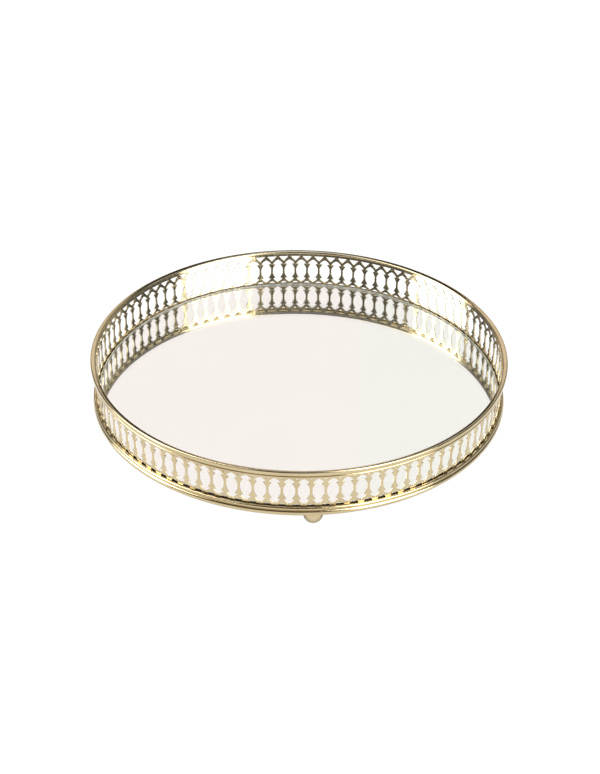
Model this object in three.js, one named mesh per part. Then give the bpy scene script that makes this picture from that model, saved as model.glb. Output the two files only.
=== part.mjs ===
// Round mirrored vanity tray with a pierced gallery, standing on four ball feet.
// Millimetres, +Z up. The origin is the tray's centre on the plane that its feet stand on.

import * as THREE from 'three';
import { mergeVertices } from 'three/addons/utils/BufferGeometryUtils.js';

// ---- Driving dimensions ----------------------------------------------------------------

const TRAY_RADIUS = 150;        // outside of the top rim
const FOOT_HEIGHT = 11.8;       // floor to the underside of the base ring
const CLEARANCE = 0.3;          // between pieces that touch on the real tray
const THIN_CLEARANCE = 0.2;     // between the flat layers under the mirror
const RING_SEGMENTS = 64;       // flats around each large turned piece

// Heights below this line are measured from the underside of the base ring.
const STRIP_INNER_RADIUS = 146.4;
const STRIP_THICKNESS = 0.8;
const STRIP_TOP = 33.2;

const RIM_INNER_RADIUS = 146.2;
const RIM_TOP = 35.6;
const RIM_SLOPE = 20;           // degrees that the rim's top leans inwards
const RIM_TOP_ROUND = 1;        // of its outer top edge
const RIM_INNER_ROUND = 1.3;
const RIM_LOWER_ROUND = 0.9;
const RIM_UNDERSIDE = 32.4;
const RIM_SKIRT_RADIUS = 149.6;
const RIM_SKIRT_THICKNESS = 0.5;
const RIM_SKIRT_BOTTOM = 30.4;
const RIM_SKIRT_TOP = 31.9;

const BASE_LOWER_BEAD_RADIUS = 2;
const BASE_LOWER_BEAD_REACH = 149.85;
const BASE_UPPER_BEAD_RADIUS = 1.05;
const BASE_UPPER_BEAD_REACH = 149.35;
const BASE_UPPER_BEAD_HEIGHT = 5.25;  // of the bead's centre
const BASE_SEAT_DROP = 0.1;           // how far the ring's inner edge lies below the upper bead
const BASE_LIP_RADIUS = 144;
const BASE_LIP_THICKNESS = 1;

const PLATE_THICKNESS = 0.7;
const BOARD_THICKNESS = 0.8;
const BOARD_RADIUS = 145;
const TAPE_THICKNESS = 0.4;
const SILVERING_THICKNESS = 0.15;
const GLASS_THICKNESS = 3;
const GLASS_RADIUS = 145.8;
const GLASS_ARRIS = 0.6;        // ground chamfer that takes the sharpness off the cut edge

// The gallery: equal cells, each one baluster with a triangle over it and an arch under it.
const GALLERY_CELLS = 97;
const GALLERY_JOINT_ANGLE = 108.4;   // degrees, where the strip's two ends meet
const GALLERY_JOINT_GAP = 0.3;

// Half of a tall opening, from its foot to its head: how far its edge stands from the middle
// of the opening, as a part of one cell's width, and its height.
const OPENING_EDGE = [
  { reach: 0.0, height: 7.95 },     // lower point
  { reach: 0.4, height: 11.5 },     // lower corner
  { reach: 0.2, height: 12.1 },     // tip of the lower barb
  { reach: 0.4, height: 16.2 },     // foot of the baluster's slim waist
  { reach: 0.4, height: 20.6 },     // head of the waist
  { reach: 0.2, height: 24.45 },    // tip of the upper barb
  { reach: 0.4, height: 24.95 },    // upper corner
  { reach: 0.0, height: 28.5 },     // upper point
];
const TRIANGLE = { halfWidth: 0.4, vertex: 27.4, top: 31.7 };
const ARCH = { footHalfWidth: 0.3, headHalfWidth: 0.14, bottom: 5.4, top: 8.6 };

const FOOT_COUNT = 4;
const FOOT_NAMES = ['front', 'right', 'back', 'left'];
const FIRST_FOOT_ANGLE = -85.6;      // degrees, the front foot
const FOOT_CIRCLE_RADIUS = 139.5;
const BALL_RADIUS = 6.65;
const BALL_FLAT_RADIUS = 1.6;        // worn flat that the ball stands on
const BALL_NECK_RADIUS = 4.15;
const BALL_HOLE_RADIUS = 1.65;
const BALL_HOLE_DEPTH = 6;
const BALL_SEGMENTS = 16;
const BALL_ARC_STEPS = 7;

const SCREW_SHANK_RADIUS = 1.3;
const SCREW_LENGTH = 6.6;
const SCREW_HEAD_RADIUS = 3.1;
const SCREW_HEAD_HEIGHT = 1.3;
const SCREW_HEAD_SLOPE_HEIGHT = 0.5;  // the head's bevelled edge
const SCREW_HEAD_SLOPE_WIDTH = 0.9;
const SCREW_SEGMENTS = 12;
const PLATE_HOLE_RADIUS = 1.75;
const BOARD_HOLE_RADIUS = 4.2;

const TAPE_SIDE = 28;
const TAPE_CIRCLE_RADIUS = 85;

// ---- The stack of flat layers, from the base ring's lip up -------------------------------

const STRIP_BOTTOM = BASE_LIP_THICKNESS + CLEARANCE;
const PLATE_BOTTOM = BASE_LIP_THICKNESS + CLEARANCE;
const PLATE_TOP = PLATE_BOTTOM + PLATE_THICKNESS;
const BOARD_BOTTOM = PLATE_TOP + CLEARANCE;
const BOARD_TOP = BOARD_BOTTOM + BOARD_THICKNESS;
const TAPE_BOTTOM = BOARD_TOP + THIN_CLEARANCE;
const TAPE_TOP = TAPE_BOTTOM + TAPE_THICKNESS;
const SILVERING_BOTTOM = TAPE_TOP + THIN_CLEARANCE;
const SILVERING_TOP = SILVERING_BOTTOM + SILVERING_THICKNESS;
const GLASS_BOTTOM = SILVERING_TOP + THIN_CLEARANCE;
const GLASS_TOP = GLASS_BOTTOM + GLASS_THICKNESS;

// ---- Finishes ----------------------------------------------------------------------------

const GOLD = { color: 0xd9bf86, roughness: 0.18, metalness: 1 };
const GLASS = { color: 0xe4ede8, roughness: 0.03, metalness: 0 };
const SILVER = { color: 0xe9ebea, roughness: 0.04, metalness: 1 };
const CARD = { color: 0x8d8478, roughness: 0.9, metalness: 0 };
const FOAM_TAPE = { color: 0xf0efea, roughness: 0.8, metalness: 0 };
const STEEL = { color: 0xb4b6b8, roughness: 0.35, metalness: 1 };

const tray = new THREE.Group();
tray.position.z = FOOT_HEIGHT;

function addPiece(name, geometry, finish) {
  const piece = new THREE.Mesh(geometry, new THREE.MeshStandardMaterial(finish));
  piece.name = name;
  tray.add(piece);
  return piece;
}

// ---- Shapes that several pieces share ------------------------------------------------------

// Turns [radius, height] points about +Z. The points go round the section anticlockwise.
function turned(points, segments) {
  const profile = points.map(([radius, height]) => new THREE.Vector2(radius, height));
  const geometry = new THREE.LatheGeometry(profile, segments);
  geometry.rotateX(Math.PI / 2);
  return geometry;
}

function turnedRing(points, segments) {
  return turned([...points, points[0]], segments);
}

function arcPoints(centreRadius, centreHeight, radius, fromDegrees, toDegrees, steps) {
  const points = [];
  for (let step = 0; step <= steps; step += 1) {
    const angle = THREE.MathUtils.degToRad(fromDegrees + ((toDegrees - fromDegrees) * step) / steps);
    points.push([centreRadius + radius * Math.cos(angle), centreHeight + radius * Math.sin(angle)]);
  }
  return points;
}

function polygonPoints(radius, sides, centre = new THREE.Vector2()) {
  const points = [];
  for (let side = 0; side < sides; side += 1) {
    const angle = (side * 2 * Math.PI) / sides;
    points.push(new THREE.Vector2(Math.cos(angle), Math.sin(angle)).multiplyScalar(radius).add(centre));
  }
  return points;
}

function footCentre(index) {
  const angle = THREE.MathUtils.degToRad(FIRST_FOOT_ANGLE + (index * 360) / FOOT_COUNT);
  return new THREE.Vector2(Math.cos(angle), Math.sin(angle)).multiplyScalar(FOOT_CIRCLE_RADIUS);
}

// A flat disc with one round hole over each foot.
function piercedDisc(radius, bottom, top, holeRadius) {
  const shape = new THREE.Shape(polygonPoints(radius, RING_SEGMENTS));
  for (let index = 0; index < FOOT_COUNT; index += 1) {
    shape.holes.push(new THREE.Path(polygonPoints(holeRadius, SCREW_SEGMENTS, footCentre(index))));
  }
  const geometry = new THREE.ExtrudeGeometry(shape, { depth: top - bottom, bevelEnabled: false });
  geometry.translate(0, 0, bottom);
  return geometry;
}

// ---- Top rim: a bead that hooks over the strip, its top leaning inwards, with a skirt outside --

function topRimGeometry() {
  const hookRadius = STRIP_INNER_RADIUS + STRIP_THICKNESS + CLEARANCE;
  const hookTop = STRIP_TOP + CLEARANCE;
  const skirtInner = RIM_SKIRT_RADIUS - RIM_SKIRT_THICKNESS;
  const lowerCentre = [TRAY_RADIUS - RIM_LOWER_ROUND, RIM_UNDERSIDE + RIM_LOWER_ROUND];
  const topCentre = [TRAY_RADIUS - RIM_TOP_ROUND, RIM_TOP - RIM_TOP_ROUND];
  const slope = THREE.MathUtils.degToRad(RIM_SLOPE);
  const innerCentreRadius = RIM_INNER_RADIUS + RIM_INNER_ROUND;
  const fall = (topCentre[0] - innerCentreRadius) * Math.tan(slope)
    + (RIM_INNER_ROUND - RIM_TOP_ROUND) / Math.cos(slope);
  const innerCentre = [innerCentreRadius, topCentre[1] - fall];
  return turnedRing([
    [skirtInner, RIM_SKIRT_BOTTOM],
    [RIM_SKIRT_RADIUS, RIM_SKIRT_BOTTOM],
    [RIM_SKIRT_RADIUS, RIM_SKIRT_TOP],
    ...arcPoints(...lowerCentre, RIM_LOWER_ROUND, -60, 0, 2),
    ...arcPoints(...topCentre, RIM_TOP_ROUND, 0, 90 + RIM_SLOPE, 4),
    ...arcPoints(...innerCentre, RIM_INNER_ROUND, 90 + RIM_SLOPE, 180, 3).slice(0, -1),
    [RIM_INNER_RADIUS, hookTop],
    [hookRadius, hookTop],
    [hookRadius, RIM_SKIRT_TOP + RIM_SKIRT_THICKNESS],
    [skirtInner, RIM_SKIRT_TOP],
  ], RING_SEGMENTS);
}

// ---- Gallery strip: pierced sheet bent into a hoop, its ends meeting at one joint ------------

// One cell, in the strip's own flat: x runs along the strip as a part of the cell's width,
// from -0.5 to 0.5, and y is height. The tall openings are notches in both of its sides.
function galleryCell() {
  const rightEdge = OPENING_EDGE.map(({ reach, height }) => new THREE.Vector2(0.5 - reach, height));
  const leftEdge = OPENING_EDGE.map(({ reach, height }) => new THREE.Vector2(reach - 0.5, height));
  const outline = [
    new THREE.Vector2(-0.5, STRIP_BOTTOM),
    new THREE.Vector2(0.5, STRIP_BOTTOM),
    ...rightEdge,
    new THREE.Vector2(0.5, STRIP_TOP),
    new THREE.Vector2(-0.5, STRIP_TOP),
    ...leftEdge.reverse(),
  ];
  const triangle = [
    new THREE.Vector2(0, TRIANGLE.vertex),
    new THREE.Vector2(-TRIANGLE.halfWidth, TRIANGLE.top),
    new THREE.Vector2(TRIANGLE.halfWidth, TRIANGLE.top),
  ];
  const arch = [
    new THREE.Vector2(-ARCH.footHalfWidth, ARCH.bottom),
    new THREE.Vector2(-ARCH.headHalfWidth, ARCH.top),
    new THREE.Vector2(ARCH.headHalfWidth, ARCH.top),
    new THREE.Vector2(ARCH.footHalfWidth, ARCH.bottom),
  ];
  return { outline, holes: [triangle, arch] };
}

function galleryGeometry() {
  const { outline, holes } = galleryCell();
  const loops = [outline, ...holes];
  const flat = loops.flat();
  const faces = THREE.ShapeUtils.triangulateShape(outline, holes);
  const outerRadius = STRIP_INNER_RADIUS + STRIP_THICKNESS;
  const jointAngle = THREE.MathUtils.degToRad(GALLERY_JOINT_ANGLE);
  const gapAngle = GALLERY_JOINT_GAP / STRIP_INNER_RADIUS;
  const cellAngle = (2 * Math.PI - gapAngle) / GALLERY_CELLS;
  const positions = [];

  const addVertex = (cell, point, radius) => {
    const angle = jointAngle + gapAngle / 2 + (cell + 0.5 + point.x) * cellAngle;
    positions.push(radius * Math.cos(angle), radius * Math.sin(angle), point.y);
  };

  // An edge that the next cell carries on has no wall, except at the two ends of the strip.
  const isOpenSide = (cell, from, to) => {
    const onSide = Math.abs(from.x) === 0.5 && from.x === to.x;
    const isEnd = (cell === 0 && from.x < 0) || (cell === GALLERY_CELLS - 1 && from.x > 0);
    return onSide && !isEnd;
  };

  for (let cell = 0; cell < GALLERY_CELLS; cell += 1) {
    for (const [a, b, c] of faces) {
      [a, b, c].forEach((corner) => addVertex(cell, flat[corner], outerRadius));
      [a, c, b].forEach((corner) => addVertex(cell, flat[corner], STRIP_INNER_RADIUS));
    }
    for (const loop of loops) {
      loop.forEach((from, index) => {
        const to = loop[(index + 1) % loop.length];
        if (isOpenSide(cell, from, to)) return;
        addVertex(cell, from, outerRadius);
        addVertex(cell, from, STRIP_INNER_RADIUS);
        addVertex(cell, to, STRIP_INNER_RADIUS);
        addVertex(cell, from, outerRadius);
        addVertex(cell, to, STRIP_INNER_RADIUS);
        addVertex(cell, to, outerRadius);
      });
    }
  }

  const geometry = new THREE.BufferGeometry();
  geometry.setAttribute('position', new THREE.Float32BufferAttribute(positions, 3));
  const welded = mergeVertices(geometry, 1e-3);
  welded.computeVertexNormals();
  return welded;
}

// ---- Base ring: two rolled beads outside the strip, and a lip under it ------------------------

function baseRingGeometry() {
  const seatRadius = STRIP_INNER_RADIUS + STRIP_THICKNESS + CLEARANCE;
  const lowerCentre = BASE_LOWER_BEAD_REACH - BASE_LOWER_BEAD_RADIUS;
  const upperCentre = BASE_UPPER_BEAD_REACH - BASE_UPPER_BEAD_RADIUS;
  return turnedRing([
    [BASE_LIP_RADIUS, 0],
    ...arcPoints(lowerCentre, BASE_LOWER_BEAD_RADIUS, BASE_LOWER_BEAD_RADIUS, -90, 75, 6),
    ...arcPoints(upperCentre, BASE_UPPER_BEAD_HEIGHT, BASE_UPPER_BEAD_RADIUS, -75, 90, 5),
    [seatRadius, BASE_UPPER_BEAD_HEIGHT + BASE_UPPER_BEAD_RADIUS - BASE_SEAT_DROP],
    [seatRadius, BASE_LIP_THICKNESS],
    [BASE_LIP_RADIUS, BASE_LIP_THICKNESS],
  ], RING_SEGMENTS);
}

// ---- Mirror, its silvering and what it lies on -----------------------------------------------

function glassGeometry() {
  return turned([
    [0, GLASS_BOTTOM],
    [GLASS_RADIUS - GLASS_ARRIS, GLASS_BOTTOM],
    [GLASS_RADIUS, GLASS_BOTTOM + GLASS_ARRIS],
    [GLASS_RADIUS, GLASS_TOP - GLASS_ARRIS],
    [GLASS_RADIUS - GLASS_ARRIS, GLASS_TOP],
    [0, GLASS_TOP],
  ], RING_SEGMENTS);
}

function silveringGeometry() {
  const radius = GLASS_RADIUS - GLASS_ARRIS;
  return turned([
    [0, SILVERING_BOTTOM],
    [radius, SILVERING_BOTTOM],
    [radius, SILVERING_TOP],
    [0, SILVERING_TOP],
  ], RING_SEGMENTS);
}

// ---- Feet and their screws -------------------------------------------------------------------

// A turned ball with a short neck under the plate and a blind hole for its screw.
function ballFootGeometry() {
  const centreHeight = BALL_RADIUS - FOOT_HEIGHT
    - (BALL_RADIUS - Math.sqrt(BALL_RADIUS ** 2 - BALL_FLAT_RADIUS ** 2));
  const flatAngle = -THREE.MathUtils.radToDeg(Math.acos(BALL_FLAT_RADIUS / BALL_RADIUS));
  const neckAngle = THREE.MathUtils.radToDeg(Math.acos(BALL_NECK_RADIUS / BALL_RADIUS));
  const neckTop = PLATE_BOTTOM - CLEARANCE;
  return turned([
    [0, -FOOT_HEIGHT],
    ...arcPoints(0, centreHeight, BALL_RADIUS, flatAngle, neckAngle, BALL_ARC_STEPS),
    [BALL_NECK_RADIUS, neckTop],
    [BALL_HOLE_RADIUS, neckTop],
    [BALL_HOLE_RADIUS, neckTop - BALL_HOLE_DEPTH],
    [0, neckTop - BALL_HOLE_DEPTH],
  ], BALL_SEGMENTS);
}

function footScrewGeometry() {
  const headBottom = PLATE_TOP + CLEARANCE;
  const headTop = headBottom + SCREW_HEAD_HEIGHT;
  return turned([
    [0, headBottom - SCREW_LENGTH],
    [SCREW_SHANK_RADIUS, headBottom - SCREW_LENGTH],
    [SCREW_SHANK_RADIUS, headBottom],
    [SCREW_HEAD_RADIUS, headBottom],
    [SCREW_HEAD_RADIUS, headTop - SCREW_HEAD_SLOPE_HEIGHT],
    [SCREW_HEAD_RADIUS - SCREW_HEAD_SLOPE_WIDTH, headTop],
    [0, headTop],
  ], SCREW_SEGMENTS);
}

// ---- Assembly --------------------------------------------------------------------------------

addPiece('top_rim', topRimGeometry(), GOLD);
addPiece('gallery_strip', galleryGeometry(), GOLD);
addPiece('base_ring', baseRingGeometry(), GOLD);
addPiece('base_plate',
  piercedDisc(STRIP_INNER_RADIUS - CLEARANCE, PLATE_BOTTOM, PLATE_TOP, PLATE_HOLE_RADIUS), GOLD);
addPiece('backing_board', piercedDisc(BOARD_RADIUS, BOARD_BOTTOM, BOARD_TOP, BOARD_HOLE_RADIUS), CARD);
addPiece('mirror_silvering', silveringGeometry(), SILVER);
addPiece('mirror_glass', glassGeometry(), GLASS);

for (let index = 0; index < FOOT_COUNT; index += 1) {
  const side = FOOT_NAMES[index];
  const centre = footCentre(index);

  const foot = addPiece(`ball_foot_${side}`, ballFootGeometry(), GOLD);
  foot.position.set(centre.x, centre.y, 0);

  const screw = addPiece(`foot_screw_${side}`, footScrewGeometry(), STEEL);
  screw.position.set(centre.x, centre.y, 0);

  const tapeGeometry = new THREE.BoxGeometry(TAPE_SIDE, TAPE_SIDE, TAPE_THICKNESS);
  const tape = addPiece(`tape_pad_${side}`, tapeGeometry, FOAM_TAPE);
  const tapeCentre = centre.clone().setLength(TAPE_CIRCLE_RADIUS);
  tape.position.set(tapeCentre.x, tapeCentre.y, (TAPE_BOTTOM + TAPE_TOP) / 2);
}

export default tray;
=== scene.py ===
import math

import bpy
from mathutils import Matrix, Vector
from mathutils.geometry import tessellate_polygon


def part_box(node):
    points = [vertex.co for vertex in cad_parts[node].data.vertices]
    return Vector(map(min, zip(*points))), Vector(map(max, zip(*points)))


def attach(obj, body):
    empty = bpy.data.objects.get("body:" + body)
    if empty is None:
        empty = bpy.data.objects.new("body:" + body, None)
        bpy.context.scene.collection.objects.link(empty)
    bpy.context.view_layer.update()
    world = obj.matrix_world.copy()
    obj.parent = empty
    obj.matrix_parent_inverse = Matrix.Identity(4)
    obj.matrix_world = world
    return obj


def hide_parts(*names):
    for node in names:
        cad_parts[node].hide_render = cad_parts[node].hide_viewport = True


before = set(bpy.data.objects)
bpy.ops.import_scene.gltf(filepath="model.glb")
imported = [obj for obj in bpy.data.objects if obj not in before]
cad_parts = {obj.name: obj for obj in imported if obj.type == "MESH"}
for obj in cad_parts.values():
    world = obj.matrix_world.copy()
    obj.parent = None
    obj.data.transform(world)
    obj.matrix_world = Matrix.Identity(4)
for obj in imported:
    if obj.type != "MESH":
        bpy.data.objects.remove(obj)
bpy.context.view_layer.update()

# Round mirrored vanity tray with a pierced gallery on ball feet.
# Shapes are worked out in millimetres in the row's frame and written to Blender in metres.
MM = 0.001
BODY = "root"


def node_box(node):
    """Lowest and highest corner of a CAD node in millimetres."""
    low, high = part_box(node)
    return low / MM, high / MM


rim_low, rim_high = node_box("top_rim")
strip_low, strip_high = node_box("gallery_strip")
base_low, _ = node_box("base_ring")
silver_low, _ = node_box("mirror_silvering")
glass_low, glass_high = node_box("mirror_glass")

TRAY_RADIUS = rim_high.x
BASE_Z = base_low.z
ROUND_STEPS = 388             # steps round each large ring, four to a gallery cell
PANE_STEPS = 256              # steps round the mirror
BALL_STEPS = 48
SEAT_GAP = 0.15               # between the strip and the pieces that hold it


# ---- Camera ------------------------------------------------------------------------------

CAMERA_PLACE = Vector((0.9, -899.3, 610.1))
CAMERA_PITCH = 33.55          # degrees below the horizon
CAMERA_ROLL = 0.82            # degrees, which lowers the right side of the picture a little
CAMERA_LENS = 68.26


def make_camera():
    camera = bpy.data.objects.new("camera", bpy.data.cameras.new("camera"))
    camera.data.lens = CAMERA_LENS
    camera.data.sensor_width = 36
    camera.data.clip_start = 0.05
    camera.data.clip_end = 50
    tilt = Matrix.Rotation(math.radians(90 - CAMERA_PITCH), 4, "X")
    roll = Matrix.Rotation(math.radians(CAMERA_ROLL), 4, "Z")
    camera.matrix_world = Matrix.Translation(CAMERA_PLACE * MM) @ tilt @ roll
    bpy.context.collection.objects.link(camera)
    bpy.context.scene.camera = camera


# ---- Studio ------------------------------------------------------------------------------

class NodeMaker:
    """Adds nodes to a tree and links them, so that a formula reads in one line."""

    def __init__(self, tree):
        self.tree = tree

    def add(self, kind, inputs=None, **settings):
        node = self.tree.nodes.new(kind)
        for key, value in settings.items():
            setattr(node, key, value)
        for key, value in (inputs or {}).items():
            self.feed(node.inputs[key], value)
        return node

    def feed(self, socket, value):
        if isinstance(value, bpy.types.NodeSocket):
            self.tree.links.new(value, socket)
        else:
            socket.default_value = value

    def math(self, operation, first, second=0.0):
        return self.add("ShaderNodeMath", {0: first, 1: second}, operation=operation).outputs[0]

    def ramp_between(self, value, low, high):
        """0 below low and 1 above high, smooth between them."""
        inputs = {"Value": value, "From Min": low, "From Max": high}
        return self.add("ShaderNodeMapRange", inputs, interpolation_type="SMOOTHSTEP").outputs[0]

    def mix_colour(self, factor, first, second):
        node = self.add("ShaderNodeMix", data_type="RGBA")
        self.feed(node.inputs["Factor"], factor)
        self.feed(node.inputs[6], first)
        self.feed(node.inputs[7], second)
        return node.outputs[2]

    def noise(self, place, scale, detail=2.0, roughness=0.5):
        inputs = {"Vector": place, "Scale": scale, "Detail": detail, "Roughness": roughness}
        return self.add("ShaderNodeTexNoise", inputs).outputs["Fac"]


# The room seen in the polished metal and the mirror. A vault angle runs from the horizon in
# front of the tray (0) over the zenith (90) to the horizon behind it (180). Elevations are above
# the horizon, and bearings turn from +X (0) to +Y (90). All angles are in degrees.
WARM_WALL = (1.07, 0.975, 0.95, 1)     # what the mirror shows on its left and middle
COOL_WALL = (1.02, 0.975, 0.935, 1)    # and on its right
WALL_SEAM = 87                 # the bearing where one meets the other
WALL_TOP = 44                  # elevation where the walls end
BACK_WALL_BOTTOM = 22          # elevation under which the wall behind the tray is dark
BACK_GLOW = (90, 40, 6)        # bearing, half width and top of the lit strip low on the back wall
UNLIT_ROOM = (0.15, 0.158, 0.172, 1)   # low in front of the tray
DARK_ROOM = (0.03, 0.03, 0.03, 1)      # overhead
DIM_ROOM = (0.34, 0.33, 0.3, 1)
FRONT_GLOW = 25                # vault angle up to which the room's front is lit from the floor
DARK_FRONT = 55                # vault angle where the unlit front turns into the dark overhead
ROOF = (1.15, 1.25, 1.6, 1)
ROOF_FRONT = 106               # vault angles of the bright strip of roof behind the zenith
ROOF_BACK = 119
# Bearing, half width and colour of each unlit patch at the sides.
DARK_SIDES = ((10, 28, UNLIT_ROOM), (136, 21, UNLIT_ROOM), (56, 19, DIM_ROOM))
DARK_SIDE_BOTTOM = -2
WINDOW = (6.0, 5.9, 5.6, 1)
WINDOWS = ((-39, 21), (179, 19))      # bearing and half width of each bright side patch
WINDOW_BOTTOM = 10
WINDOW_TOP = 78
ZENITH = 90
SEAM_BLUR = 1.5                # half width of the smooth step at each border
NARROW_BLUR = 2
WIDE_BLUR = 3
DARK_FRONT_BLUR = 5
SEEN_BY_CAMERA = (1, 1, 1, 1)  # the camera sees plain white in place of the room and the floor


class Sky:
    """Smooth masks over the directions that the world is seen in."""

    def __init__(self, make):
        self.make = make
        direction = make.add("ShaderNodeTexCoord").outputs["Generated"]
        axes = make.add("ShaderNodeSeparateXYZ", {"Vector": direction}).outputs
        self.elevation = make.math("ARCSINE", axes[2])
        self.bearing = make.math("ARCTAN2", axes[1], axes[0])
        ahead = make.math("MULTIPLY", axes[1], -1.0)
        self.vault = make.math("ARCTAN2", axes[2], ahead)

    def above(self, degrees, blur):
        """1 where the elevation is past the one given."""
        low, high = math.radians(degrees - blur), math.radians(degrees + blur)
        return self.make.ramp_between(self.elevation, low, high)

    def over_vault(self, degrees, blur):
        """1 where the vault angle is past the one given."""
        low, high = math.radians(degrees - blur), math.radians(degrees + blur)
        return self.make.ramp_between(self.vault, low, high)

    def outside(self, bearing, half_width, blur):
        """1 where the bearing is further than half_width from the one given."""
        off = self.make.math("SUBTRACT", self.bearing, math.radians(bearing))
        off = self.make.math("ARCCOSINE", self.make.math("COSINE", off))
        return self.make.ramp_between(off, math.radians(half_width - blur), math.radians(half_width + blur))

    def patch(self, bearing, half_width, bottom, top, blur):
        """1 inside a patch of sky."""
        inside = self.make.math("SUBTRACT", 1.0, self.outside(bearing, half_width, blur))
        under = self.make.math("SUBTRACT", 1.0, self.above(top, blur))
        column = self.make.math("MULTIPLY", inside, under)
        return self.make.math("MULTIPLY", column, self.above(bottom, blur))


def make_world():
    """A room with pale walls, dark overhead, with a strip of roof and two bright patches.

    It isn't an even studio: its patches are set for the reflections seen from the main camera.
    """
    world = bpy.data.worlds.new("studio")
    world.use_nodes = True
    world.node_tree.nodes.clear()
    make = NodeMaker(world.node_tree)
    sky = Sky(make)
    cool = sky.outside(WALL_SEAM + 90, 90, SEAM_BLUR)
    room = make.mix_colour(cool, WARM_WALL, COOL_WALL)
    overhead = sky.above(WALL_TOP, NARROW_BLUR)
    room = make.mix_colour(overhead, room, DARK_ROOM)
    behind = make.math("MULTIPLY", sky.over_vault(ROOF_FRONT, NARROW_BLUR), overhead)
    before_roof_back = make.math("SUBTRACT", 1.0, sky.over_vault(ROOF_BACK, NARROW_BLUR))
    roof = make.math("MULTIPLY", behind, before_roof_back)
    room = make.mix_colour(roof, room, ROOF)
    below_wall = make.math("SUBTRACT", 1.0, sky.above(BACK_WALL_BOTTOM, NARROW_BLUR))
    low_behind = make.math("MULTIPLY", below_wall, sky.over_vault(ZENITH, WIDE_BLUR))
    room = make.mix_colour(low_behind, room, DARK_ROOM)
    bearing, half_width, top = BACK_GLOW
    glow = sky.patch(bearing, half_width, -top, top, NARROW_BLUR)
    room = make.mix_colour(glow, room, WARM_WALL)
    unlit = make.mix_colour(sky.over_vault(DARK_FRONT, DARK_FRONT_BLUR), UNLIT_ROOM, DARK_ROOM)
    before_zenith = make.math("SUBTRACT", 1.0, sky.over_vault(ZENITH + 2, WIDE_BLUR))
    unlit_front = make.math("MULTIPLY", sky.over_vault(FRONT_GLOW, WIDE_BLUR), before_zenith)
    room = make.mix_colour(unlit_front, room, unlit)
    for bearing, half_width, colour in DARK_SIDES:
        side = sky.patch(bearing, half_width, DARK_SIDE_BOTTOM, WALL_TOP, WIDE_BLUR)
        room = make.mix_colour(side, room, colour)
    for bearing, half_width in WINDOWS:
        window = sky.patch(bearing, half_width, WINDOW_BOTTOM, WINDOW_TOP, NARROW_BLUR)
        room = make.mix_colour(window, room, WINDOW)
    seen = make.add("ShaderNodeLightPath").outputs["Is Camera Ray"]
    colour = make.mix_colour(seen, room, SEEN_BY_CAMERA)
    background = make.add("ShaderNodeBackground", {"Color": colour})
    output = make.add("ShaderNodeOutputWorld")
    make.feed(output.inputs["Surface"], background.outputs[0])
    bpy.context.scene.world = world


FLOOR_REACH = 6.0              # metres
SHADE_INNER = 0.125            # metres from the tray's middle: the painted shade is full inside this
SHADE_OUTER = 0.158            # and gone outside this
FLOOR_SHADE = (0.06, 0.05, 0.04, 1)
FLOOR_LIGHT = (0.98, 0.98, 0.98, 1)
FLOOR_PAPER = (0.08, 0.08, 0.08, 1)    # what it reflects on top of its own light


def make_floor():
    """A luminous floor, white to the camera. The metal and the mirror see a painted shade on it."""
    reach = FLOOR_REACH
    corners = [(-reach, -reach, 0), (reach, -reach, 0), (reach, reach, 0), (-reach, reach, 0)]
    mesh = bpy.data.meshes.new("floor")
    mesh.from_pydata(corners, [], [(0, 1, 2, 3)])
    material, make, shader, place = new_material("floor_paper")
    distance = make.add("ShaderNodeVectorMath", {0: place}, operation="LENGTH").outputs["Value"]
    lit = make.ramp_between(distance, SHADE_INNER, SHADE_OUTER)
    seen = make.add("ShaderNodeLightPath").outputs["Is Camera Ray"]
    glow = make.mix_colour(lit, FLOOR_SHADE, FLOOR_LIGHT)
    make.feed(shader.inputs["Emission Color"], make.mix_colour(seen, glow, SEEN_BY_CAMERA))
    shader.inputs["Base Color"].default_value = FLOOR_PAPER
    shader.inputs["Roughness"].default_value = 0.9
    shader.inputs["Specular IOR Level"].default_value = 0.0
    shader.inputs["Emission Strength"].default_value = 1.0
    mesh.materials.append(material)
    floor = bpy.data.objects.new("floor", mesh)
    bpy.context.collection.objects.link(floor)


def make_studio():
    make_world()
    make_floor()
    scene = bpy.context.scene
    scene.view_settings.view_transform = "Standard"
    scene.view_settings.look = "None"


# ---- Materials -----------------------------------------------------------------------------

# Noise scales are per metre, and bump distances are in metres.

def new_material(name):
    material = bpy.data.materials.new(name)
    material.use_nodes = True
    tree = material.node_tree
    make = NodeMaker(tree)
    place = make.add("ShaderNodeTexCoord").outputs["Object"]
    return material, make, tree.nodes["Principled BSDF"], place


def add_bump(make, shader, height, strength, distance):
    inputs = {"Height": height, "Strength": strength, "Distance": distance}
    bump = make.add("ShaderNodeBump", inputs)
    make.feed(shader.inputs["Normal"], bump.outputs[0])


GOLD_LIGHT = (0.63, 0.525, 0.325, 1)
GOLD_DEEP = (0.56, 0.455, 0.27, 1)


def gold_material(name, roughness, ripple):
    """Thin bright plating: patchy colour, faint haze and a slightly rippled surface."""
    material, make, shader, place = new_material(name)
    patches = make.ramp_between(make.noise(place, scale=45, detail=4.0, roughness=0.6), 0.35, 0.7)
    make.feed(shader.inputs["Base Color"], make.mix_colour(patches, GOLD_LIGHT, GOLD_DEEP))
    haze = make.noise(place, scale=260, detail=5.0, roughness=0.65)
    spread = make.math("MULTIPLY_ADD", haze, roughness)
    spread.node.inputs[2].default_value = roughness * 0.5
    make.feed(shader.inputs["Roughness"], spread)
    shader.inputs["Metallic"].default_value = 1.0
    ripples = make.noise(place, scale=180, detail=3.0)
    add_bump(make, shader, ripples, strength=ripple, distance=0.0004)
    return material


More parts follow.
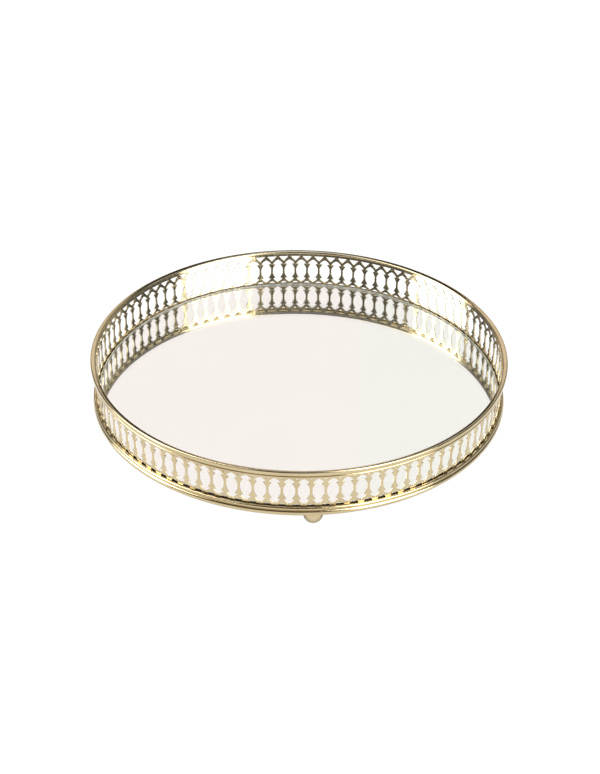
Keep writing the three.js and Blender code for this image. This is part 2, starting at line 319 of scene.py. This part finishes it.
def glass_material():
    """Clear float glass with a faint green body and a trace of dust in its gloss."""
    material, make, shader, place = new_material("mirror_glass")
    shader.inputs["Base Color"].default_value = (0.965, 0.985, 0.975, 1)
    shader.inputs["Transmission Weight"].default_value = 1.0
    shader.inputs["IOR"].default_value = 1.52
    specks = make.noise(place, scale=420, detail=6.0, roughness=0.7)
    dust = make.ramp_between(specks, 0.62, 0.9)
    make.feed(shader.inputs["Roughness"], make.math("MULTIPLY", dust, 0.02))
    return material


def ground_material(name, dark, light):
    """Ground glass: the dull arris round the pane, and its saw-cut edge."""
    material, make, shader, place = new_material(name)
    grind = make.noise(place, scale=900, detail=3.0)
    make.feed(shader.inputs["Base Color"], make.mix_colour(grind, dark, light))
    shader.inputs["Roughness"].default_value = 0.45
    return material


def silver_material():
    """The silver behind the glass, with the slight unevenness of a cheap mirror."""
    material, make, shader, place = new_material("mirror_silvering")
    tone = make.noise(place, scale=12)
    silver = make.mix_colour(tone, (0.93, 0.93, 0.925, 1), (0.96, 0.955, 0.95, 1))
    make.feed(shader.inputs["Base Color"], silver)
    shader.inputs["Metallic"].default_value = 1.0
    shader.inputs["Roughness"].default_value = 0.0
    return material


def plain_material(name, light, dark, scale, roughness, metallic, grain):
    """A finish with mottled colour and a fine grain: lacquer, card, foam, zinc, or the dark paint of the
    pane's edge ring, which also serves as painted shade.
    """
    material, make, shader, place = new_material(name)
    mottle = make.noise(place, scale, detail=5.0, roughness=0.65)
    make.feed(shader.inputs["Base Color"], make.mix_colour(mottle, dark, light))
    spread = make.math("MULTIPLY_ADD", mottle, 0.3 * roughness)
    spread.node.inputs[2].default_value = 0.85 * roughness
    make.feed(shader.inputs["Roughness"], spread)
    shader.inputs["Metallic"].default_value = metallic
    grains = make.noise(place, scale * 6, detail=4.0)
    add_bump(make, shader, grains, strength=grain, distance=0.0005)
    return material


# ---- Mesh building ---------------------------------------------------------------------------

def finish_piece(name, mesh, material, nodes, sharp_angle=32):
    """Makes the object from a mesh in millimetres and puts it in the place of its CAD nodes."""
    mesh.transform(Matrix.Scale(MM, 4))
    if material:
        mesh.materials.append(material)
    mesh.shade_smooth()
    if sharp_angle:
        mesh.set_sharp_from_angle(angle=math.radians(sharp_angle))
    piece = bpy.data.objects.new(name, mesh)
    bpy.context.collection.objects.link(piece)
    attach(piece, BODY)
    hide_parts(*nodes)
    return piece


def turned_mesh(name, profile, steps, centre=(0, 0), closed=True):
    """Turns (radius, height) points about an upright axis. They go anticlockwise round the section.

    A closed profile is a ring. An open one starts and ends on the axis.
    """
    vertices, rings = [], []
    for radius, height in profile:
        if radius < 1e-9:
            rings.append([len(vertices)] * steps)
            vertices.append((centre[0], centre[1], height))
            continue
        rings.append(list(range(len(vertices), len(vertices) + steps)))
        for step in range(steps):
            angle = 2 * math.pi * step / steps
            vertices.append((
                centre[0] + radius * math.cos(angle),
                centre[1] + radius * math.sin(angle),
                height,
            ))
    faces = []
    pairs = list(zip(rings, rings[1:]))
    if closed:
        pairs.append((rings[-1], rings[0]))
    for lower, upper in pairs:
        for step in range(steps):
            after = (step + 1) % steps
            corners = [lower[step], lower[after], upper[after], upper[step]]
            faces.append(list(dict.fromkeys(corners)))
    mesh = bpy.data.meshes.new(name)
    mesh.from_pydata(vertices, [], faces)
    return mesh


def arc(centre_x, centre_y, radius, start, end, steps):
    """Points on an arc, from start to end in degrees."""
    points = []
    for step in range(steps + 1):
        angle = math.radians(start + (end - start) * step / steps)
        points.append((centre_x + radius * math.cos(angle), centre_y + radius * math.sin(angle)))
    return points


# ---- Top rim -----------------------------------------------------------------------------------

RIM_INNER_RADIUS = 146.2
RIM_SLOPE = 17                 # degrees that the rim's top leans inwards
RIM_TOP_ROUND = 1.0            # of its outer top edge
RIM_INNER_ROUND = 1.3
RIM_LOWER_ROUND = 0.9
RIM_UNDERSIDE = 32.4           # above the base ring's underside, at the bead's outer side
SKIRT_RADIUS = 149.6
SKIRT_THICKNESS = 0.5
SKIRT_ROLL = (0.75, 0.85, 0.8)       # the rolled top of the skirt: its centre in from the skirt's
                                     # outside and up from the skirt's foot, and its radius
SKIRT_INNER_TOP = 1.15               # heights above the skirt's foot, inside it
HOOK_FOOT = 1.5
HOOK_GAP = 0.06                      # over the strip's top edge


def make_rim(material):
    """A bead that hooks over the strip, its top leaning inwards, and a rolled skirt outside it."""
    hook_radius = strip_high.x + SEAT_GAP
    hook_top = strip_high.z + HOOK_GAP
    low = rim_low.z
    skirt_inner = SKIRT_RADIUS - SKIRT_THICKNESS
    lip = SKIRT_THICKNESS / 2
    under = BASE_Z + RIM_UNDERSIDE + RIM_LOWER_ROUND
    lean = 90 + RIM_SLOPE
    # The two upper rounds meet the straight slope between them smoothly.
    inner_centre = RIM_INNER_RADIUS + RIM_INNER_ROUND
    outer_centre = TRAY_RADIUS - RIM_TOP_ROUND
    top = rim_high.z - RIM_TOP_ROUND
    fall = (outer_centre - inner_centre) * math.tan(math.radians(RIM_SLOPE))
    fall += (RIM_INNER_ROUND - RIM_TOP_ROUND) / math.cos(math.radians(RIM_SLOPE))
    profile = arc(skirt_inner + lip, low + lip, lip, 180, 360, 8)
    roll_in, roll_up, roll = SKIRT_ROLL
    profile += arc(SKIRT_RADIUS - roll_in, low + roll_up, roll, -20, 80, 8)
    profile += arc(TRAY_RADIUS - RIM_LOWER_ROUND, under, RIM_LOWER_ROUND, -110, 0, 8)
    profile += arc(outer_centre, top, RIM_TOP_ROUND, 0, lean, 12)
    profile += arc(inner_centre, top - fall, RIM_INNER_ROUND, lean, 180, 12)
    profile += [(RIM_INNER_RADIUS, hook_top), (hook_radius, hook_top)]
    profile += [(hook_radius, low + HOOK_FOOT), (skirt_inner, low + SKIRT_INNER_TOP)]
    mesh = turned_mesh("rim_bead", profile, ROUND_STEPS)
    finish_piece("rim_bead", mesh, material, ["top_rim"], 50)


# ---- Gallery strip -----------------------------------------------------------------------------

CELLS = 97
JOINT_BEARING = 108.4          # degrees, where the strip's two ends meet
JOINT_GAP = 0.3
EDGE_ROUND = 0.12              # width of the worn arris round every hole
STRIP_THICKNESS = 0.8

# The tall opening's edge from its foot to its head. Each stretch ends at a point given as
# (distance from the opening's middle as a part of a cell, height above the base ring's
# underside) and bulges sideways from a straight line by a part of its length.
OPENING_FOOT = (0.0, 7.95)
OPENING_STRETCHES = [
    ((0.4, 11.55), 0.07),      # round to the lower corner
    ((0.2, 12.1), 0.0),        # flat under the lower barb
    ((0.415, 16.2), 0.03),     # up to the slim waist of the baluster
    ((0.415, 20.7), 0.0),
    ((0.2, 24.45), 0.03),      # and in to the upper barb
    ((0.405, 24.95), 0.0),     # flat over the upper barb
    ((0.0, 28.5), 0.1),        # round to the domed head
]
TRIANGLE_HALF_WIDTH = 0.4
TRIANGLE_VERTEX = 27.4
TRIANGLE_TOP = 31.7
TRIANGLE_BULGE = 0.02
ARCH_HALF_WIDTH = 0.31
ARCH_BOTTOM = 5.4
ARCH_TOP = 8.65
ARCH_STEPS = 10
ARCH_SHOULDER = 0.9            # under 1 makes the arch fuller than an ellipse
EDGE_STEP = 0.7                # longest stretch of an opening's edge between two points
MITRE_LIMIT = 2.2


def bulged(start, end, bulge, steps):
    """Points after start up to end, bowed to the right of the way from start to end."""
    start, end = Vector(start), Vector(end)
    along = end - start
    side = Vector((along.y, -along.x))
    points = []
    for step in range(1, steps + 1):
        t = step / steps
        points.append(start + along * t + side * bulge * 4 * t * (1 - t))
    return points


def opening_edge(cell_width):
    """One side of a tall opening in millimetres, as offsets from the opening's middle."""
    last = Vector((OPENING_FOOT[0] * cell_width, OPENING_FOOT[1]))
    points = [last]
    for (reach, height), bulge in OPENING_STRETCHES:
        target = Vector((reach * cell_width, height))
        steps = max(2, round((target - last).length / EDGE_STEP))
        points += bulged(last, target, bulge, steps)
        last = target
    return points


def shifted(points, distance, closed):
    """The outline moved to its left by distance, with mitred corners."""
    moved = []
    count = len(points)
    for index, point in enumerate(points):
        before = points[index - 1] if closed or index > 0 else None
        after = points[(index + 1) % count] if closed or index < count - 1 else None
        if before is None:
            before = Vector((-after.x + 2 * point.x, after.y))
        if after is None:
            after = Vector((-before.x + 2 * point.x, before.y))
        way_in = (point - before).normalized()
        way_out = (after - point).normalized()
        left_in = Vector((-way_in.y, way_in.x))
        left_out = Vector((-way_out.y, way_out.x))
        middle = (left_in + left_out).normalized()
        stretch = min(1 / max(middle.dot(left_in), 0.2), MITRE_LIMIT)
        moved.append(point + middle * distance * stretch)
    return moved


def gallery_cell(cell_width):
    """Loops of one cell: x along the strip from the baluster's middle, y up. Metal is on the left."""
    half = cell_width / 2
    edge = opening_edge(cell_width)
    right = [Vector((half - point.x, point.y)) for point in edge]
    left = [Vector((point.x - half, point.y)) for point in reversed(edge)]
    vertex = Vector((0, TRIANGLE_VERTEX))
    top_left = Vector((-TRIANGLE_HALF_WIDTH * cell_width, TRIANGLE_TOP))
    top_right = Vector((TRIANGLE_HALF_WIDTH * cell_width, TRIANGLE_TOP))
    triangle = bulged(vertex, top_left, -TRIANGLE_BULGE, 7)
    triangle += [top_right]
    triangle += bulged(top_right, vertex, -TRIANGLE_BULGE, 7)
    reach = ARCH_HALF_WIDTH * cell_width
    rise = ARCH_TOP - ARCH_BOTTOM
    arch = []
    for step in range(ARCH_STEPS + 1):
        angle = math.pi * (1 - step / ARCH_STEPS)
        height = ARCH_BOTTOM + rise * math.sin(angle) ** ARCH_SHOULDER
        arch.append(Vector((reach * math.cos(angle), height)))
    return right, left, triangle, arch


def make_gallery(material):
    outer = strip_high.x
    inner = outer - STRIP_THICKNESS
    middle = (outer + inner) / 2
    gap = JOINT_GAP / middle
    cell_angle = (2 * math.pi - gap) / CELLS
    cell_width = cell_angle * middle
    half = cell_width / 2
    right, left, triangle, arch = gallery_cell(cell_width)
    bottom, top = strip_low.z - BASE_Z, strip_high.z - BASE_Z

    # The face of the sheet stops short of each hole by the width of the worn arris.
    face_right = shifted(right, EDGE_ROUND, False)
    face_left = shifted(left, EDGE_ROUND, False)
    face_triangle = shifted(triangle, EDGE_ROUND, True)
    face_arch = shifted(arch, EDGE_ROUND, True)
    outline = [Vector((-half, bottom)), Vector((half, bottom)), *face_right]
    outline += [Vector((half, top)), Vector((-half, top)), *face_left]
    loops = [outline, face_triangle, face_arch]
    flat = [point for loop in loops for point in loop]
    as_3d = [[Vector((point.x, point.y, 0)) for point in loop] for loop in loops]
    triangles = tessellate_polygon(as_3d)

    vertices, faces, normals = [], [], []
    start = math.radians(JOINT_BEARING) + gap / 2

    def vertex(cell, point, radius):
        angle = start + (cell + 0.5) * cell_angle + point.x / middle
        vertices.append((radius * math.cos(angle), radius * math.sin(angle), BASE_Z + point.y))
        return len(vertices) - 1

    def face_normal(cell, point, sign):
        angle = start + (cell + 0.5) * cell_angle + point.x / middle
        return Vector((math.cos(angle), math.sin(angle), 0)) * sign

    def wall_normal(cell, point, way):
        """Normal of a hole's wall, to the right of the way round the loop."""
        angle = start + (cell + 0.5) * cell_angle + point.x / middle
        along = Vector((-math.sin(angle), math.cos(angle), 0))
        return (along * way.y - Vector((0, 0, 1)) * way.x).normalized()

    def add_face(corners, corner_normals):
        faces.append(corners)
        normals.extend(corner_normals)

    for cell in range(CELLS):
        front = [vertex(cell, point, outer) for point in flat]
        back = [vertex(cell, point, inner) for point in flat]
        for a, b, c in triangles:
            turn = (flat[b] - flat[a]).cross(flat[c] - flat[a])
            a, b, c = (a, b, c) if turn > 0 else (a, c, b)
            add_face((front[a], front[b], front[c]), [face_normal(cell, flat[i], 1) for i in (a, b, c)])
            add_face((back[a], back[c], back[b]), [face_normal(cell, flat[i], -1) for i in (a, c, b)])
        chains = [(right, face_right, False), (left, face_left, False)]
        chains += [(triangle, face_triangle, True), (arch, face_arch, True)]
        for chain, face_chain, closed in chains:
            count = len(chain)
            rows = [
                [vertex(cell, point, outer) for point in face_chain],
                [vertex(cell, point, outer - EDGE_ROUND) for point in chain],
                [vertex(cell, point, inner + EDGE_ROUND) for point in chain],
                [vertex(cell, point, inner) for point in face_chain],
            ]
            for i in range(count if closed else count - 1):
                j = (i + 1) % count
                way = chain[j] - chain[i]
                ends = (chain[i], chain[j])
                outward = [face_normal(cell, point, 1) for point in ends]
                inward = [face_normal(cell, point, -1) for point in ends]
                wall = [wall_normal(cell, point, way) for point in ends]
                strips = [(0, 1, outward, wall), (1, 2, wall, wall), (2, 3, wall, inward)]
                for upper, lower, upper_normals, lower_normals in strips:
                    corners = (rows[upper][i], rows[lower][i], rows[lower][j], rows[upper][j])
                    corner_normals = [upper_normals[0], lower_normals[0]]
                    corner_normals += [lower_normals[1], upper_normals[1]]
                    add_face(corners, corner_normals)
        for height, way in ((bottom, 1), (top, -1)):
            ends = (Vector((-half * way, height)), Vector((half * way, height)))
            corners = (
                vertex(cell, ends[0], outer), vertex(cell, ends[0], inner),
                vertex(cell, ends[1], inner), vertex(cell, ends[1], outer),
            )
            add_face(corners, [Vector((0, 0, -way))] * 4)

    mesh = bpy.data.meshes.new("gallery_band")
    mesh.from_pydata(vertices, [], faces)
    mesh.normals_split_custom_set(normals)
    finish_piece("gallery_band", mesh, material, ["gallery_strip"], None)


# ---- Base ring -----------------------------------------------------------------------------------

LOWER_BEAD = (147.85, 2.0, 2.0)       # centre radius, centre height and radius of the section
UPPER_BEAD = (148.3, 5.25, 1.05)
LIP_RADIUS = 144.0
LIP_THICKNESS = 1.0
SEAT_TOP = 6.15                       # of the ring's inner edge, above its underside


def make_base_ring(material):
    """Two rolled beads with a groove between them, and the lip that the tray's floor lies on."""
    seat = strip_high.x + SEAT_GAP
    z = BASE_Z
    profile = [(LIP_RADIUS, z)]
    profile += arc(LOWER_BEAD[0], z + LOWER_BEAD[1], LOWER_BEAD[2], -90, 75, 16)
    profile += arc(UPPER_BEAD[0], z + UPPER_BEAD[1], UPPER_BEAD[2], -75, 100, 16)
    lip_top = z + LIP_THICKNESS
    profile += [(seat, z + SEAT_TOP), (seat, lip_top), (LIP_RADIUS, lip_top)]
    mesh = turned_mesh("base_moulding", profile, ROUND_STEPS)
    finish_piece("base_moulding", mesh, material, ["base_ring"], 50)


# ---- Mirror ----------------------------------------------------------------------------------------

GLASS_ARRIS = 0.6
# The two sizes below place the dark ring round the pane's edge, which is partly paint and partly painted
# shade.
PAINT_AND_SHADE_GAP = 0.02
PAINT_AND_SHADE_THICKNESS = 0.1
SILVER_GAP = 0.01              # between the silver and the pane
FLAT_STEEPNESS = 0.9           # a face whose normal is more upright than this is the pane's flat
ARRIS_STEEPNESS = 0.2          # and more than this, its arris


def make_mirror(glass, arris, edge, silver, dark_paint_and_shade):
    """The pane with its ground arrises and cut edge, the silver under it and the dark paint round it, which
    also stands in for painted shade at the pane's edge.
    """
    low, high = glass_low.z, glass_high.z
    centre = ((glass_low.x + glass_high.x) / 2, (glass_low.y + glass_high.y) / 2)
    radius = (glass_high.x - glass_low.x) / 2
    face = radius - GLASS_ARRIS
    bottom, top = low + GLASS_ARRIS, high - GLASS_ARRIS
    profile = [(0, low), (face, low), (radius, bottom), (radius, top), (face, high), (0, high)]
    mesh = turned_mesh("mirror_pane", profile, PANE_STEPS, centre, closed=False)
    for material in (glass, arris, edge):
        mesh.materials.append(material)
    for polygon in mesh.polygons:
        steepness = abs(polygon.normal.z)
        is_flat = steepness > FLAT_STEEPNESS
        polygon.material_index = 0 if is_flat else 1 if steepness > ARRIS_STEEPNESS else 2
    finish_piece("mirror_pane", mesh, None, ["mirror_glass"], 20)
    silver_top = low - SILVER_GAP
    profile = [(0, silver_low.z), (face, silver_low.z), (face, silver_top), (0, silver_top)]
    mesh = turned_mesh("silver_coat", profile, PANE_STEPS, centre, closed=False)
    finish_piece("silver_coat", mesh, silver, ["mirror_silvering"], 20)
    # The dark paint behind the silver also covers the pane's cut edge. This dark ring is partly that paint
    # and partly painted shade: it stands in for the shade in the gap between the gallery strip and the pane.
    near, far = radius + PAINT_AND_SHADE_GAP, radius + PAINT_AND_SHADE_GAP + PAINT_AND_SHADE_THICKNESS
    profile = [(near, bottom), (far, bottom), (far, top), (near, top)]
    mesh = turned_mesh("edge_paint_and_shade", profile, PANE_STEPS, centre)
    finish_piece("edge_paint_and_shade", mesh, dark_paint_and_shade, ["mirror_silvering"], 20)


# ---- Feet and fixings --------------------------------------------------------------------------------

BALL_FLAT = 1.6                # radius of the worn flat that the ball stands on
BALL_NECK = 4.15
BALL_HOLE = 1.65
BALL_HOLE_DEPTH = 6


def make_ball_foot(side, material):
    low, high = node_box(f"ball_foot_{side}")
    centre = ((low.x + high.x) / 2, (low.y + high.y) / 2)
    radius = (high.x - low.x) / 2
    middle = math.sqrt(radius ** 2 - BALL_FLAT ** 2)
    start = -math.degrees(math.acos(BALL_FLAT / radius))
    end = math.degrees(math.acos(BALL_NECK / radius))
    hole_bottom = high.z - BALL_HOLE_DEPTH
    profile = [(0, low.z), *arc(0, low.z + middle, radius, start, end, 26)]
    profile += [(BALL_NECK, high.z), (BALL_HOLE, high.z)]
    profile += [(BALL_HOLE, hole_bottom), (0, hole_bottom)]
    mesh = turned_mesh(f"ball_{side}", profile, BALL_STEPS, centre, closed=False)
    finish_piece(f"ball_{side}", mesh, material, [f"ball_foot_{side}"], 40)


def dress(node, material):
    """Gives a carried-over CAD node its finish."""
    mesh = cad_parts[node].data
    mesh.materials.clear()
    mesh.materials.append(material)


SIDES = ("front", "right", "back", "left")

make_camera()
make_studio()

gold = gold_material("gold_plating", 0.12, 0.12)
gold_sheet = gold_material("gold_plated_sheet", 0.16, 0.2)
lacquer = plain_material("underside_lacquer", (0.6, 0.47, 0.25, 1), (0.5, 0.38, 0.19, 1), 60, 0.42, 0.9, 0.25)
card = plain_material("backing_card", (0.34, 0.3, 0.25, 1), (0.24, 0.21, 0.17, 1), 300, 0.9, 0.0, 0.6)
foam = plain_material("foam_tape", (0.85, 0.85, 0.83, 1), (0.75, 0.75, 0.72, 1), 500, 0.85, 0.0, 0.5)
zinc = plain_material("zinc_plate", (0.62, 0.63, 0.64, 1), (0.5, 0.51, 0.52, 1), 400, 0.35, 1.0, 0.2)

make_rim(gold)
make_gallery(gold_sheet)
make_base_ring(gold)
arris = ground_material("mirror_arris", (0.68, 0.64, 0.52, 1), (0.82, 0.78, 0.64, 1))
edge = ground_material("mirror_edge", (0.82, 0.83, 0.78, 1), (0.92, 0.93, 0.89, 1))
# Dark paint for the pane's edge ring, which also serves as painted shade in the gap between the strip and the
# pane.
dark_paint_and_shade = plain_material("mirror_paint_and_shade", (0.05, 0.036, 0.014, 1), (0.025, 0.017, 0.006, 1), 300, 0.5, 0.0, 0.2)
make_mirror(glass_material(), arris, edge, silver_material(), dark_paint_and_shade)
for side in SIDES:
    make_ball_foot(side, gold)
    dress(f"foot_screw_{side}", zinc)
    dress(f"tape_pad_{side}", foam)
dress("base_plate", lacquer)
dress("backing_board", card)
